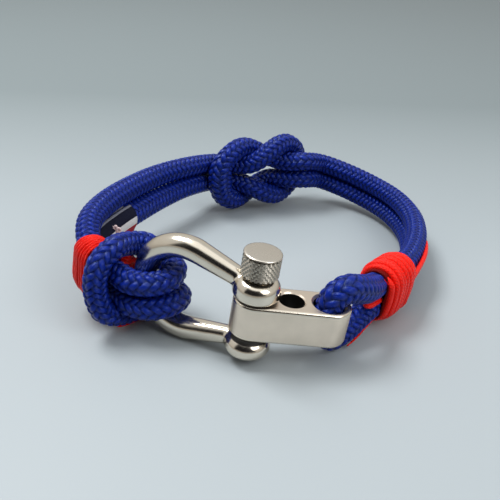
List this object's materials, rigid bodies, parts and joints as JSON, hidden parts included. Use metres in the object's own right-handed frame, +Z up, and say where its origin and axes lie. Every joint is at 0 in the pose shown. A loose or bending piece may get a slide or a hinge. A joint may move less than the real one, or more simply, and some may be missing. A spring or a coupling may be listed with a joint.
{
  "type": "nautical rope bracelet",
  "caption": "Rope bracelet of doubled braided cord with a reef knot at the back, closed at the front by a bow shackle, a screw pin and an adjuster bar.",
  "frame": {"origin": "centre of the bounding box's footprint on the surface that the bracelet lies on", "axes": "+Z up through the wrist opening, +X from the shackle to the bar's rope end, +Y from the clasp at the front to the reef knot at the back"},
  "size_m": [0.081, 0.077, 0.0229],
  "materials": {
    "steel": "polished stainless steel",
    "rope": "glossy braided polyester rope",
    "twine": "waxed twine",
    "ribbon": "woven ribbon in three bands"
  },
  "bodies": {
    "bracelet": {"bow_shackle": "steel", "adjuster_bar": "steel", "cord_shackle_side": "rope", "cord_bar_side": "rope", "whipping_left": "twine", "whipping_right": "twine", "twine_tail": "twine", "flag_label": "ribbon"},
    "pin": {"screw_pin": "steel"}
  },
  "joints": [
    {"name": "pin_draw", "type": "slide", "parent": "bracelet", "child": "pin", "axis": [0.0958, 0.0027, 0.9954], "range_m": [0, 0.0156]}
  ]
}
